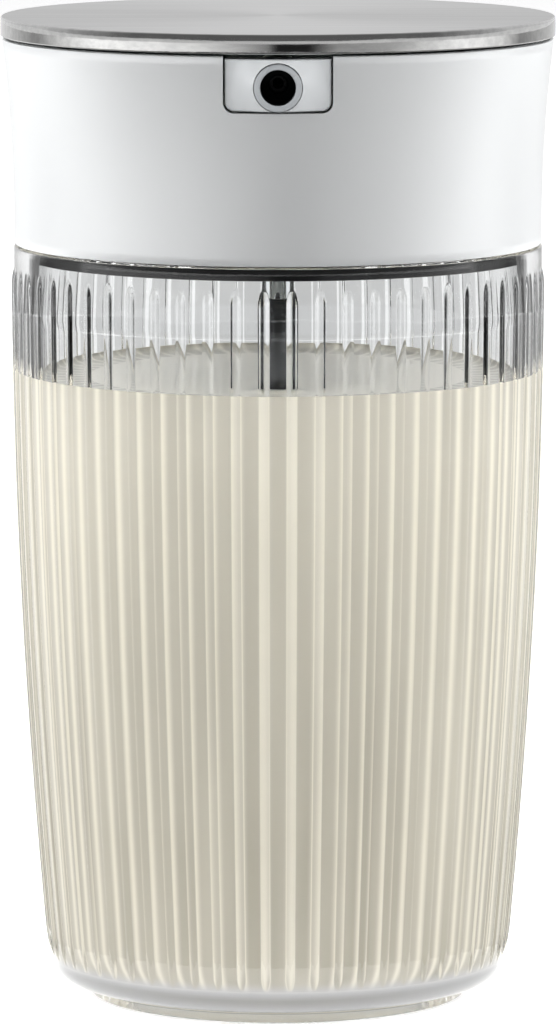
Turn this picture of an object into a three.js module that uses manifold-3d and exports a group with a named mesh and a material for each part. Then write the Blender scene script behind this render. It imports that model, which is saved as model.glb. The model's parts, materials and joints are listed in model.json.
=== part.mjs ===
// Glass milk container with a push-in collar, a swappable milk port, a suction pipe and a steel lid.
// Millimetres, +Z up. The origin is the centre of the foot ring, on the surface that it stands on.
// The milk port faces -Y. Every piece is one closed solid, and pieces that touch keep a small gap.

import * as THREE from 'three';
import { mergeVertices } from 'three/addons/utils/BufferGeometryUtils.js';
import Module from 'manifold-3d';

const wasm = await Module();
wasm.setup();

// ---- Driving dimensions ----

const FIT = 0.3;              // gap between pieces that touch
const LID_RADIUS = 49.0;      // the widest part of the object
const LID_TOP = 174.6;        // overall height
const COLLAR_BOTTOM = 134.4;
const COLLAR_TOP = 170.7;
const COLLAR_RADIUS = 46.7;   // at the collar's foot, before it flares
const COLLAR_FLARE = 2.05;    // how far the collar's top stands out past its foot
const COLLAR_WALL = 2.0;
const FLARE_POWER = 2.3;

const GLASS_RADIUS = 47.2;    // over the ribs, at the widest height
const GLASS_WIDEST = 127;
const GLASS_TAPER = 5.95;     // how much narrower the glass is where the ribs begin
const TAPER_POWER = 1.87;
const RIB_COUNT = 60;
const RIB_HEIGHT = 0.42;
const RIB_BOTTOM = 8.5;
const RIB_TOP = 129;
const FLOOR_TOP = 5;          // the inside floor of the glass
const MOUTH_RADIUS = 42.2;    // inside the glass neck
const NECK_RADIUS = 44.6;     // outside the glass neck
const NECK_TOP = 143.7;

const PORT_HEIGHT = 165.4;    // the milk port's axis
const PORT_BORE = 3.06;
const PORT_RING_RADIUS = 4.16;
const NOTCH_WIDTH = 18.9;
const NOTCH_BOTTOM = 160.9;
const NOTCH_CORNER = 1.9;

const PIPE_Y = -26;           // the suction pipe stands this far in front of the axis
const PIPE_RADIUS = 1.5;
const PIPE_BORE = 1.0;
const SLEEVE_RADIUS = 3.3;
const SLEEVE_BORE = PIPE_RADIUS + 0.2;
const PIPE_FOOT = 12;         // the pipe's lowest point, 7 mm above the floor of the glass

const FAR_FRONT = -60;        // in front of every piece, where cuts begin

const COARSE = 16;            // facets round a small ring or rod
const MEDIUM = 40;            // facets round a hidden large piece
const FINE = 64;              // facets round a visible large piece

// ---- Materials ----

const glass = new THREE.MeshStandardMaterial({
  color: 0xe8eeee, roughness: 0.04, metalness: 0, transparent: true, opacity: 0.35,
});
const clearPlastic = new THREE.MeshStandardMaterial({
  color: 0xdfe3e6, roughness: 0.1, metalness: 0, transparent: true, opacity: 0.45,
});
const satinWhite = new THREE.MeshStandardMaterial({ color: 0xe9ebeb, roughness: 0.35, metalness: 0.1 });
const greyPlastic = new THREE.MeshStandardMaterial({ color: 0xb9bdbd, roughness: 0.45, metalness: 0 });
const portGrey = new THREE.MeshStandardMaterial({ color: 0xc4c8ca, roughness: 0.3, metalness: 0.1 });
const blackRubber = new THREE.MeshStandardMaterial({ color: 0x16191a, roughness: 0.7, metalness: 0 });
const darkPlastic = new THREE.MeshStandardMaterial({ color: 0x2a2f33, roughness: 0.35, metalness: 0 });
const brushedSteel = new THREE.MeshStandardMaterial({ color: 0xc2c2c0, roughness: 0.3, metalness: 1 });
const bondingPad = new THREE.MeshStandardMaterial({ color: 0x8b8f8e, roughness: 0.9, metalness: 0 });

// ---- Solid helpers ----

// Leaves only positions and whole triangles, with shared vertices joined and faces pointing out.
function tidyMesh(geometry) {
  const bare = geometry.clone();
  bare.deleteAttribute('normal');
  bare.deleteAttribute('uv');
  const merged = mergeVertices(bare);
  const position = merged.getAttribute('position');
  const source = merged.index.array;
  const triangles = [];
  const a = new THREE.Vector3();
  const b = new THREE.Vector3();
  const c = new THREE.Vector3();
  let volume = 0;
  for (let i = 0; i < source.length; i += 3) {
    const corners = [source[i], source[i + 1], source[i + 2]];
    if (new Set(corners).size < 3) {
      continue;
    }
    triangles.push(corners);
    a.fromBufferAttribute(position, corners[0]);
    b.fromBufferAttribute(position, corners[1]);
    c.fromBufferAttribute(position, corners[2]);
    volume += a.dot(b.cross(c));
  }
  if (volume < 0) {
    triangles.forEach((corners) => corners.reverse());
  }
  merged.setIndex(triangles.flat());
  return merged;
}

function toSolid(geometry) {
  const mesh = tidyMesh(geometry);
  return new wasm.Manifold(new wasm.Mesh({
    numProp: 3,
    vertProperties: new Float32Array(mesh.getAttribute('position').array),
    triVerts: new Uint32Array(mesh.index.array),
  }));
}

function toGeometry(solid) {
  const mesh = solid.getMesh();
  const geometry = new THREE.BufferGeometry();
  geometry.setAttribute('position', new THREE.BufferAttribute(mesh.vertProperties, 3));
  geometry.setIndex(new THREE.BufferAttribute(mesh.triVerts, 1));
  geometry.computeVertexNormals();
  return geometry;
}

// Turns a profile of [radius, height] points about the Z axis; its first column is at -Y.
function turned(profile, facets) {
  const points = profile.map(([radius, height]) => new THREE.Vector2(radius, height));
  return new THREE.LatheGeometry(points, facets).rotateX(Math.PI / 2);
}

// The same for a ring: the profile closes on itself.
function turnedRing(profile, facets) {
  return turned([...profile, profile[0]], facets);
}

// A round bar along Z, standing at x = 0.
function uprightRod(radius, bottom, top, y, facets = COARSE) {
  const rod = new THREE.CylinderGeometry(radius, radius, top - bottom, facets);
  return toSolid(rod.rotateX(Math.PI / 2).translate(0, y, (bottom + top) / 2));
}

// A round bar along Y on the milk port's axis.
function portRod(radius, front, back, facets = COARSE) {
  const rod = new THREE.CylinderGeometry(radius, radius, back - front, facets);
  return toSolid(rod.translate(0, (front + back) / 2, PORT_HEIGHT));
}

function block(x0, x1, y0, y1, z0, z1) {
  const box = new THREE.BoxGeometry(x1 - x0, y1 - y0, z1 - z0);
  return toSolid(box.translate((x0 + x1) / 2, (y0 + y1) / 2, (z0 + z1) / 2));
}

// A tongue with round lower corners, seen from the front and running back to the Z axis.
function tongue(halfWidth, bottom, top, corner, reach) {
  const shape = new THREE.Shape();
  shape.moveTo(-halfWidth, top);
  shape.lineTo(-halfWidth, bottom + corner);
  shape.absarc(-halfWidth + corner, bottom + corner, corner, Math.PI, Math.PI * 1.5, false);
  shape.lineTo(halfWidth - corner, bottom);
  shape.absarc(halfWidth - corner, bottom + corner, corner, Math.PI * 1.5, Math.PI * 2, false);
  shape.lineTo(halfWidth, top);
  const prism = new THREE.ExtrudeGeometry(shape, { depth: reach, bevelEnabled: false, curveSegments: 4 });
  return toSolid(prism.rotateX(Math.PI / 2));
}

// An O-ring as a small ring of six-sided section about the Z axis.
function ringProfile(inner, outer, middleHeight) {
  const middle = (inner + outer) / 2;
  const half = (outer - inner) / 2;
  const corner = half * 0.5;
  const flank = half * Math.cos(Math.PI / 6);
  return [
    [outer, middleHeight],
    [middle + corner, middleHeight + flank],
    [middle - corner, middleHeight + flank],
    [inner, middleHeight],
    [middle - corner, middleHeight - flank],
    [middle + corner, middleHeight - flank],
  ];
}

const part = new THREE.Group();

function addPiece(name, shape, material) {
  const geometry = shape.isBufferGeometry ? shape : toGeometry(shape);
  const piece = new THREE.Mesh(geometry, material);
  piece.name = name;
  part.add(piece);
}

// ---- Shared outlines ----

function glassRadius(height) {
  const down = (GLASS_WIDEST - height) / (GLASS_WIDEST - RIB_BOTTOM);
  return GLASS_RADIUS - GLASS_TAPER * Math.abs(down) ** TAPER_POWER;
}

function collarRadius(height) {
  const up = (height - COLLAR_BOTTOM) / (COLLAR_TOP - COLLAR_BOTTOM);
  return COLLAR_RADIUS + COLLAR_FLARE * up ** FLARE_POWER;
}

function collarOutline() {
  return [COLLAR_BOTTOM, 146, 154, 160, 164, 167.5, COLLAR_TOP].map((z) => [collarRadius(z), z]);
}

// ---- Glass ----

// Upright ribs all round, two facets to a rib, fading into a smooth foot and a smooth shoulder.
function glassOutside() {
  const smooth = GLASS_RADIUS - RIB_HEIGHT;
  const ribRows = [RIB_BOTTOM, 40, 80, 115, RIB_TOP];
  const profile = [
    [0, 2.4],
    [30.6, 2.4],
    [31.2, 0],
    [33.6, 0],
    [34.3, 2.1],
    [38.8, 4],
    [40.6, 6.6],
    ...ribRows.map((z) => [glassRadius(z), z]),
    [smooth, 130.6],
    [smooth, 133.6],
    [NECK_RADIUS, COLLAR_BOTTOM - FIT],
    [NECK_RADIUS, NECK_TOP - 1],
    [NECK_RADIUS - 1, NECK_TOP],
    [0, NECK_TOP],
  ];
  const geometry = turned(profile, RIB_COUNT * 2);
  const position = geometry.getAttribute('position');
  for (let i = 0; i < position.count; i += 1) {
    const column = Math.floor(i / profile.length);
    const z = position.getZ(i);
    const onRibs = z > RIB_BOTTOM - 1 && z < RIB_TOP + 1;
    if (onRibs && column % 2 === 0) {
      const radius = Math.hypot(position.getX(i), position.getY(i));
      const valley = (radius - RIB_HEIGHT) / radius;
      position.setXY(i, position.getX(i) * valley, position.getY(i) * valley);
    }
  }
  return toSolid(geometry);
}

function glassInside() {
  const profile = [
    [0, FLOOR_TOP],
    [30, FLOOR_TOP],
    [35.8, FLOOR_TOP + 1.6],
    [37.8, FLOOR_TOP + 6],
    [39.6, 36],
    [41.4, 66],
    [42.6, 98],
    [43, 122],
    [MOUTH_RADIUS, 133],
    [MOUTH_RADIUS, NECK_TOP - 1],
    [MOUTH_RADIUS + 1, NECK_TOP],
    [MOUTH_RADIUS + 1, NECK_TOP + 1],
    [0, NECK_TOP + 1],
  ];
  return toSolid(turned(profile, MEDIUM));
}

addPiece('glass_vessel', glassOutside().subtract(glassInside()), glass);

// ---- Mouth seal ----

const PLUG_RADIUS = 39.6;     // the collar's plug, inside the seal
const PLUG_WALL = 2.0;
const PLUG_BOTTOM = 132.4;
const SEAL_BOTTOM = 131.6;
const DECK_UNDERSIDE = NECK_TOP + 0.5;

// A soft boot round the plug: two lips that press on the glass and a hook under the plug's edge.
function mouthSeal() {
  const inner = PLUG_RADIUS + FIT;
  const wall = inner + 1.2;
  const lip = MOUTH_RADIUS - FIT;
  const hook = PLUG_RADIUS - PLUG_WALL + 0.6;
  return turnedRing([
    [inner, DECK_UNDERSIDE - FIT],
    [wall, DECK_UNDERSIDE - FIT],
    [wall, 141.4],
    [lip, 140.4],
    [wall, 139.4],
    [wall, 136],
    [lip, 135],
    [wall, SEAL_BOTTOM],
    [hook, SEAL_BOTTOM],
    [hook, PLUG_BOTTOM - FIT],
    [inner, PLUG_BOTTOM - FIT],
  ], MEDIUM);
}

addPiece('mouth_seal', tidyMesh(mouthSeal()), blackRubber);

// ---- Collar ----

const LEDGE = 163;            // the liner's flange hangs on this ledge inside the collar
const LEDGE_RADIUS = 46.3;
const COLLAR_INSIDE = NECK_RADIUS + 0.35;

function collarShell() {
  const ring = toSolid(turnedRing([
    ...collarOutline(),
    [LEDGE_RADIUS, COLLAR_TOP],
    [LEDGE_RADIUS, LEDGE],
    [COLLAR_INSIDE, LEDGE],
    [COLLAR_INSIDE, COLLAR_BOTTOM],
  ], FINE));
  return ring.subtract(tongue(NOTCH_WIDTH / 2, NOTCH_BOTTOM, COLLAR_TOP + 2, NOTCH_CORNER, -FAR_FRONT));
}

addPiece('collar_shell', collarShell(), satinWhite);

const LINER_RADIUS = COLLAR_INSIDE - 0.35;
const LINER_INSIDE = LINER_RADIUS - 2;
const LINER_TOP = 165.2;
const DECK_TOP = 148;
const DECK_THICKNESS = 2.2;
const REFILL_RADIUS = 18;
const HOUSING_RADIUS = 4.9;   // the round back of the milk port
const GROOVE_TOP = 147.7;
const GROOVE_HEIGHT = 1.6;
const GROOVE_RADIUS = 43.4;

// Cup inside the collar: flange, wall, deck with a refill opening, and the plug below it.
function collarLiner() {
  const cup = toSolid(turnedRing([
    [LINER_INSIDE, LINER_TOP],
    [LEDGE_RADIUS - FIT, LINER_TOP],
    [LEDGE_RADIUS - FIT, LEDGE + FIT],
    [LINER_RADIUS, LEDGE + FIT],
    [LINER_RADIUS, GROOVE_TOP],
    [GROOVE_RADIUS, GROOVE_TOP],
    [GROOVE_RADIUS, GROOVE_TOP - GROOVE_HEIGHT],
    [LINER_RADIUS, GROOVE_TOP - GROOVE_HEIGHT],
    [LINER_RADIUS, DECK_UNDERSIDE],
    [PLUG_RADIUS, DECK_UNDERSIDE],
    [PLUG_RADIUS, PLUG_BOTTOM],
    [PLUG_RADIUS - PLUG_WALL, PLUG_BOTTOM],
    [PLUG_RADIUS - PLUG_WALL, DECK_TOP - DECK_THICKNESS],
    [REFILL_RADIUS, DECK_TOP - DECK_THICKNESS],
    [REFILL_RADIUS, DECK_TOP + 2],
    [REFILL_RADIUS + 1.6, DECK_TOP + 2],
    [REFILL_RADIUS + 1.6, DECK_TOP],
    [LINER_INSIDE, DECK_TOP],
  ], MEDIUM));
  const saddle = block(-6.5, 6.5, -LINER_INSIDE + 0.2, -33.5, DECK_TOP - 1, PORT_HEIGHT - 3);
  const window = block(-10, 10, FAR_FRONT, -41.5, 160, LINER_TOP + 2);
  const trough = portRod(HOUSING_RADIUS + FIT, FAR_FRONT, -30, 24);
  const pipeHole = uprightRod(SLEEVE_RADIUS + 0.6, 120, 160, PIPE_Y, 24);
  return cup.add(saddle).subtract(window).subtract(trough).subtract(pipeHole);
}

addPiece('collar_liner', collarLiner(), greyPlastic);

function linerSeal() {
  const height = GROOVE_TOP - GROOVE_HEIGHT / 2;
  return turnedRing(ringProfile(GROOVE_RADIUS + 0.15, COLLAR_INSIDE - 0.15, height), MEDIUM);
}

addPiece('liner_seal', tidyMesh(linerSeal()), blackRubber);

// ---- Milk port ----

const PORT_FRONT = -collarRadius(PORT_HEIGHT);
const RING_FRONT = PORT_FRONT - 0.5;
const RING_BACK = PORT_FRONT + 6.4;
const GROMMET_BACK = RING_BACK + 3.8;
const FLANGE_BACK = GROMMET_BACK + 1.4;
const HOUSING_BACK = FLANGE_BACK + 3.8;
const PANEL_INSIDE = 43;
const PORT_SEAT = PORT_RING_RADIUS + 0.2;
const ELBOW_RADIUS = 3.1;

// Curved panel that fills the collar's notch, with a round housing behind it.
function portFace() {
  const band = toSolid(turnedRing([
    ...collarOutline().filter(([, z]) => z >= 160),
    [PANEL_INSIDE, COLLAR_TOP],
    [PANEL_INSIDE, 160],
  ], FINE));
  const halfWidth = NOTCH_WIDTH / 2 - FIT;
  const outline = tongue(halfWidth, NOTCH_BOTTOM + FIT, COLLAR_TOP + 2, NOTCH_CORNER - FIT, -FAR_FRONT);
  const housing = portRod(HOUSING_RADIUS, -PANEL_INSIDE - 0.6, HOUSING_BACK, 24);
  const seat = portRod(PORT_SEAT, FAR_FRONT, HOUSING_BACK - 1.6, 24);
  const outlet = portRod(ELBOW_RADIUS + FIT, HOUSING_BACK - 3, HOUSING_BACK + 1, 24);
  return band.intersect(outline).add(housing).subtract(seat).subtract(outlet);
}

addPiece('port_face', portFace(), portGrey);

function portRing() {
  const bore = portRod(PORT_BORE, FAR_FRONT, -30, 24);
  return portRod(PORT_RING_RADIUS, RING_FRONT, RING_BACK, 24).subtract(bore);
}

addPiece('port_ring', portRing(), portGrey);

function portGrommet() {
  const body = portRod(PORT_RING_RADIUS, RING_BACK + 0.2, GROMMET_BACK, 24);
  return body.subtract(portRod(PIPE_RADIUS, FAR_FRONT, -30));
}

addPiece('port_grommet', portGrommet(), blackRubber);

const SPIGOT_TOP = 153;
const SPIGOT_BOTTOM = 147.2;
const SPIGOT_RADIUS = 1.9;
const SPIGOT_GROOVES = [151.2, 149.0];
const SPIGOT_GROOVE_RADIUS = 1.35;
const SPIGOT_GROOVE_HEIGHT = 1.1;

// Milk channel: in from the port, then down into a spigot that the suction pipe pushes onto.
function portElbow() {
  const flange = portRod(PORT_RING_RADIUS, GROMMET_BACK + 0.2, FLANGE_BACK);
  const arm = portRod(ELBOW_RADIUS, GROMMET_BACK + 0.6, PIPE_Y);
  const drop = uprightRod(ELBOW_RADIUS, SPIGOT_TOP, PORT_HEIGHT + ELBOW_RADIUS, PIPE_Y);
  const spigot = uprightRod(SPIGOT_RADIUS, SPIGOT_BOTTOM, SPIGOT_TOP + 1, PIPE_Y);
  let elbow = flange.add(arm).add(drop).add(spigot);
  for (const height of SPIGOT_GROOVES) {
    const half = SPIGOT_GROOVE_HEIGHT / 2;
    const collar = uprightRod(SPIGOT_RADIUS + 1, height - half, height + half, PIPE_Y);
    const core = uprightRod(SPIGOT_GROOVE_RADIUS, height - 1, height + 1, PIPE_Y);
    elbow = elbow.subtract(collar.subtract(core));
  }
  const inlet = portRod(PIPE_BORE, FAR_FRONT, PIPE_Y, 12);
  const outlet = uprightRod(PIPE_BORE, 140, PORT_HEIGHT, PIPE_Y, 12);
  return elbow.subtract(inlet).subtract(outlet);
}

addPiece('port_elbow', portElbow(), darkPlastic);

function elbowSeal() {
  const middle = FLANGE_BACK + 1.05;
  const ring = turnedRing(ringProfile(ELBOW_RADIUS + 0.1, PORT_SEAT - 0.1, 0), COARSE);
  return ring.rotateX(-Math.PI / 2).translate(0, middle, PORT_HEIGHT);
}

addPiece('elbow_seal', tidyMesh(elbowSeal()), blackRubber);

SPIGOT_GROOVES.forEach((height, index) => {
  const ring = turnedRing(ringProfile(SPIGOT_GROOVE_RADIUS + 0.08, SPIGOT_RADIUS + 0.3, height), COARSE);
  addPiece(`spigot_seal_${index + 1}`, tidyMesh(ring.translate(0, PIPE_Y, 0)), blackRubber);
});

// ---- Suction pipe ----

const ADAPTER_TOP = SPIGOT_TOP - FIT;
const ADAPTER_BOTTOM = 128;
const ADAPTER_WAIST = 140;
const ADAPTER_HEAD_RADIUS = 3.5;
const ADAPTER_NECK_RADIUS = 2.75;
const SPIGOT_SEAT = SPIGOT_RADIUS + 0.4;
const PIPE_TOP = ADAPTER_BOTTOM - FIT;   // the pipe and its sleeve end against the coupling
const TIP_TOP = PIPE_FOOT + 4;

// Push-on coupling between the spigot and the pipe, which is bonded to its lower end.
function pipeAdapter() {
  const head = uprightRod(ADAPTER_HEAD_RADIUS, ADAPTER_WAIST, ADAPTER_TOP, PIPE_Y);
  const neck = uprightRod(ADAPTER_NECK_RADIUS, ADAPTER_BOTTOM, ADAPTER_WAIST + 1, PIPE_Y);
  const seat = uprightRod(SPIGOT_SEAT, SPIGOT_BOTTOM - 0.6, ADAPTER_TOP + 1, PIPE_Y);
  const bore = uprightRod(PIPE_BORE, ADAPTER_BOTTOM - 1, ADAPTER_TOP + 1, PIPE_Y);
  return head.add(neck).subtract(seat).subtract(bore);
}

addPiece('pipe_adapter', pipeAdapter(), clearPlastic);

function upright(inner, outer, bottom, top) {
  return uprightRod(outer, bottom, top, PIPE_Y).subtract(uprightRod(inner, bottom - 1, top + 1, PIPE_Y));
}

addPiece('suction_pipe', upright(PIPE_BORE, PIPE_RADIUS, PIPE_FOOT + 1, PIPE_TOP), darkPlastic);
const sleeve = upright(SLEEVE_BORE, SLEEVE_RADIUS, TIP_TOP + FIT, PIPE_TOP);
addPiece('pipe_sleeve', sleeve, clearPlastic);

// Foot of the pipe, with two slots so that it can't seal itself against the floor.
function pipeTip() {
  const slots = block(-5, 5, PIPE_Y - 0.8, PIPE_Y + 0.8, PIPE_FOOT - 1, PIPE_FOOT + 0.8);
  return upright(SLEEVE_BORE, SLEEVE_RADIUS, PIPE_FOOT, TIP_TOP).subtract(slots);
}

addPiece('pipe_tip', pipeTip(), darkPlastic);

// ---- Lid ----

const LID_RIM_BOTTOM = 171.2;
const LID_SHEET = 1.0;
const LID_EDGE = 0.6;         // how far the lid's top edge is rounded over
const PAD_RADIUS = 45;
const CARRIER_BOTTOM = COLLAR_TOP + FIT;
const CARRIER_TOP = LID_TOP - LID_SHEET - 0.5;
const CARRIER_RADIUS = 47.2;
const SKIRT_RADIUS = 41.3;
const SKIRT_WALL = 2.0;
const SKIRT_BOTTOM = 165;
const SKIRT_GAP = 11;         // half the gap in the skirt that clears the milk port

// Pressed steel pan: flat brushed top, rounded edge, straight polished rim.
function steelCap() {
  const edge = [0, 0.35, 0.7, 1].map((share) => {
    const angle = share * Math.PI / 2;
    const radius = LID_RADIUS - LID_EDGE + LID_EDGE * Math.sin(angle);
    return [radius, LID_TOP - LID_EDGE + LID_EDGE * Math.cos(angle)];
  });
  return turned([
    [0, LID_TOP],
    ...edge,
    [LID_RADIUS - 0.1, LID_RIM_BOTTOM],
    [LID_RADIUS - 0.8, LID_RIM_BOTTOM],
    [LID_RADIUS - LID_SHEET, LID_TOP - LID_SHEET - 0.6],
    [LID_RADIUS - LID_SHEET - 0.6, LID_TOP - LID_SHEET],
    [0, LID_TOP - LID_SHEET],
  ], FINE);
}

addPiece('steel_cap', tidyMesh(steelCap()), brushedSteel);

function disc(radius, bottom, top) {
  return turned([[0, bottom], [radius, bottom], [radius, top], [0, top]], MEDIUM);
}

const pad = disc(PAD_RADIUS, CARRIER_TOP + 0.1, LID_TOP - LID_SHEET - 0.1);
addPiece('lid_bonding_pad', tidyMesh(pad), bondingPad);

function lidCarrier() {
  const skirt = toSolid(turnedRing([
    [SKIRT_RADIUS, CARRIER_BOTTOM + 1],
    [SKIRT_RADIUS, SKIRT_BOTTOM],
    [SKIRT_RADIUS - SKIRT_WALL, SKIRT_BOTTOM],
    [SKIRT_RADIUS - SKIRT_WALL, CARRIER_BOTTOM + 1],
  ], MEDIUM));
  const gap = block(-SKIRT_GAP, SKIRT_GAP, FAR_FRONT, 0, SKIRT_BOTTOM - 1, CARRIER_BOTTOM);
  return toSolid(disc(CARRIER_RADIUS, CARRIER_BOTTOM, CARRIER_TOP)).add(skirt.subtract(gap));
}

addPiece('lid_carrier', lidCarrier(), greyPlastic);

// Soft band round the skirt that grips the liner; open over the milk port, as the skirt is.
function lidGripBand() {
  const inner = SKIRT_RADIUS + 0.1;
  const outer = LINER_INSIDE - 0.25;
  const ring = toSolid(turnedRing([[outer, 168], [inner, 169.4], [inner, 166], [outer, 167]], MEDIUM));
  return ring.subtract(block(-SKIRT_GAP, SKIRT_GAP, FAR_FRONT, 0, SKIRT_BOTTOM, LID_TOP));
}

addPiece('lid_grip_band', lidGripBand(), blackRubber);

export default part;
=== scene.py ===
import json
import math

import bpy
import bmesh
import numpy as np
from mathutils import Matrix, Vector

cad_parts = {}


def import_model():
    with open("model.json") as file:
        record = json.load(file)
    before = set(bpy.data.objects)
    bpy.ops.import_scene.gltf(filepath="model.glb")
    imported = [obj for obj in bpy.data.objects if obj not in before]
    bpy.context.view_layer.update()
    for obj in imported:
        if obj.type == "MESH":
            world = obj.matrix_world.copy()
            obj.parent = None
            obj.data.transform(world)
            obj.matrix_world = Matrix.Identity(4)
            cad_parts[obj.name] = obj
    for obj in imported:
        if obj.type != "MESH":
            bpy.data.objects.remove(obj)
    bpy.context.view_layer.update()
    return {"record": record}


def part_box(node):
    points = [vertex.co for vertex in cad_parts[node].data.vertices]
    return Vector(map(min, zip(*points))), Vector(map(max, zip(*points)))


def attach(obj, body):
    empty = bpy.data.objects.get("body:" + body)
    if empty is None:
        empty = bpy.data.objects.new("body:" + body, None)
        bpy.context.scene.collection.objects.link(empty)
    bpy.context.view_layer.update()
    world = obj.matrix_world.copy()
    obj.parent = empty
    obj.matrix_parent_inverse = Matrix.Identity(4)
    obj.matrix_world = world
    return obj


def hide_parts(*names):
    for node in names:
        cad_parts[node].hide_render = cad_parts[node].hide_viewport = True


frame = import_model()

# Looks for the milk container: each CAD piece is rebuilt finely from the frame's own sizes, the
# milk is added inside the glass, and a pale studio is set round it. Sizes are in millimetres, apart
# from those of the lights, the glowing surround and the camera, which are in metres.

MM = 0.001
RECORD = frame["record"]


def size_of(node):
    """The lowest and highest corners of a CAD node, in millimetres."""
    low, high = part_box(node)
    return Vector(low) / MM, Vector(high) / MM


# ---- Sizes read from the frame ----

GLASS_HIGH = size_of("glass_vessel")[1]
COLLAR_LOW, COLLAR_HIGH = size_of("collar_shell")
LINER_LOW, LINER_HIGH = size_of("collar_liner")
LID_LOW, LID_HIGH = size_of("steel_cap")
CARRIER_LOW, CARRIER_HIGH = size_of("lid_carrier")
FACE_HIGH = size_of("port_face")[1]
RING_LOW, RING_HIGH = size_of("port_ring")
GROMMET_LOW, GROMMET_HIGH = size_of("port_grommet")
ELBOW_LOW, ELBOW_HIGH = size_of("port_elbow")
SEAL_LOW, SEAL_HIGH = size_of("mouth_seal")
SLEEVE_LOW, SLEEVE_HIGH = size_of("pipe_sleeve")

LID_RADIUS = LID_HIGH.x
LID_TOP = LID_HIGH.z
COLLAR_BOTTOM = COLLAR_LOW.z
COLLAR_TOP = COLLAR_HIGH.z
NECK_TOP = GLASS_HIGH.z
PORT_HEIGHT = (RING_LOW.z + RING_HIGH.z) / 2
PIPE_Y = (SLEEVE_LOW.y + SLEEVE_HIGH.y) / 2

# ---- Shape of the glass and the collar ----

GLASS_RADIUS = 47.2
GLASS_WIDEST = 127.0
GLASS_TAPER = 5.95
TAPER_POWER = 1.87
RIB_COUNT = 60
RIB_HEIGHT = 0.42
RIB_SHARE = 0.37              # a rib's width as a share of the pitch
RIB_BOTTOM = 6.9
RIB_TOP = 130.2
RIB_FADE = 3.0                # how much longer than round a rib's ends are
FLOOR_TOP = 5.0
MOUTH_RADIUS = 42.2
NECK_RADIUS = 44.6
MILK_LEVEL = 110.9

COLLAR_RADIUS = 46.7
COLLAR_FLARE = 2.05
FLARE_POWER = 2.3
COLLAR_INSIDE = 44.95
LEDGE = 163.0
LEDGE_RADIUS = 46.3
NOTCH_WIDTH = 18.9
NOTCH_BOTTOM = 160.9
NOTCH_CORNER = 1.9
PANEL_GAP = 0.3


def glass_radius(z):
    """Radius over the ribs."""
    down = abs(GLASS_WIDEST - z) / (GLASS_WIDEST - 8.5)
    return GLASS_RADIUS - GLASS_TAPER * down ** TAPER_POWER


def collar_radius(z):
    """Radius of the collar's flared outside."""
    up = max(0.0, (z - COLLAR_BOTTOM) / (COLLAR_TOP - COLLAR_BOTTOM))
    return COLLAR_RADIUS + COLLAR_FLARE * up ** FLARE_POWER


# ---- Mesh helpers ----


def new_object(name, verts, faces):
    mesh = bpy.data.meshes.new(name)
    mesh.from_pydata([tuple(MM * c for c in v) for v in verts], [], faces)
    mesh.validate()
    obj = bpy.data.objects.new(name, mesh)
    bpy.context.scene.collection.objects.link(obj)
    return obj


def shade(obj, angle=32):
    """Smooth shading, kept sharp where two faces meet at more than the angle."""
    obj.data.shade_smooth()
    obj.data.set_sharp_from_angle(angle=math.radians(angle))
    return obj


def rounded(corners, closed=True, steps=4):
    """An outline of (radius, height[, fillet]) corners, with each fillet drawn as an arc."""
    count = len(corners)
    outline = []
    for i, corner in enumerate(corners):
        here = Vector(corner[:2])
        fillet = corner[2] if len(corner) > 2 else 0.0
        at_end = not closed and i in (0, count - 1)
        if fillet == 0.0 or at_end:
            outline.append(tuple(here))
            continue
        before = Vector(corners[i - 1][:2]) - here
        after = Vector(corners[(i + 1) % count][:2]) - here
        turn = before.angle(after)
        reach = min(fillet / math.tan(turn / 2), before.length * 0.49, after.length * 0.49)
        start = here + before.normalized() * reach
        end = here + after.normalized() * reach
        for step in range(steps + 1):
            t = step / steps
            outline.append(tuple(start * (1 - t) ** 2 + here * 2 * t * (1 - t) + end * t ** 2))
    return outline


def skin(rings):
    """Faces between neighbouring rings of vertex numbers; a ring on the axis repeats one vertex."""
    faces = []
    for lower, upper in zip(rings, rings[1:]):
        for s in range(len(lower)):
            n = (s + 1) % len(lower)
            face = list(dict.fromkeys([lower[s], lower[n], upper[n], upper[s]]))
            if len(face) > 2:
                faces.append(face)
    return faces


def revolve(name, outline, closed=True, segments=160, place=None):
    """Turns an outline about the Z axis; an open outline starts and ends on the axis."""
    verts = []
    rings = []
    for radius, z in outline:
        if radius < 1e-6:
            rings.append([len(verts)] * segments)
            verts.append((0.0, 0.0, z))
            continue
        rings.append(list(range(len(verts), len(verts) + segments)))
        for s in range(segments):
            angle = 2 * math.pi * s / segments
            verts.append((radius * math.sin(angle), -radius * math.cos(angle), z))
    if closed:
        rings.append(rings[0])
    obj = new_object(name, verts, skin(rings))
    if place is not None:
        obj.data.transform(place)
    face_out(obj)
    return shade(obj)


def face_out(obj):
    """Turns every face of a closed mesh outwards."""
    bm = bmesh.new()
    bm.from_mesh(obj.data)
    bmesh.ops.recalc_face_normals(bm, faces=bm.faces)
    if bm.calc_volume(signed=True) < 0:
        bmesh.ops.reverse_faces(bm, faces=bm.faces)
    bm.to_mesh(obj.data)
    bm.free()


def combine(obj, tool, operation):
    """Cuts or joins a closed mesh with another one, which is used up."""
    modifier = obj.modifiers.new("combine", "BOOLEAN")
    modifier.operation = operation
    modifier.solver = "EXACT"
    modifier.object = tool
    bake_modifiers(obj)
    bpy.data.objects.remove(tool, do_unlink=True)
    return shade(obj)


def bake_modifiers(obj):
    """Makes what the modifiers show the object's own mesh."""
    graph = bpy.context.evaluated_depsgraph_get()
    mesh = bpy.data.meshes.new_from_object(obj.evaluated_get(graph))
    obj.modifiers.clear()
    obj.data = mesh


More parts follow.
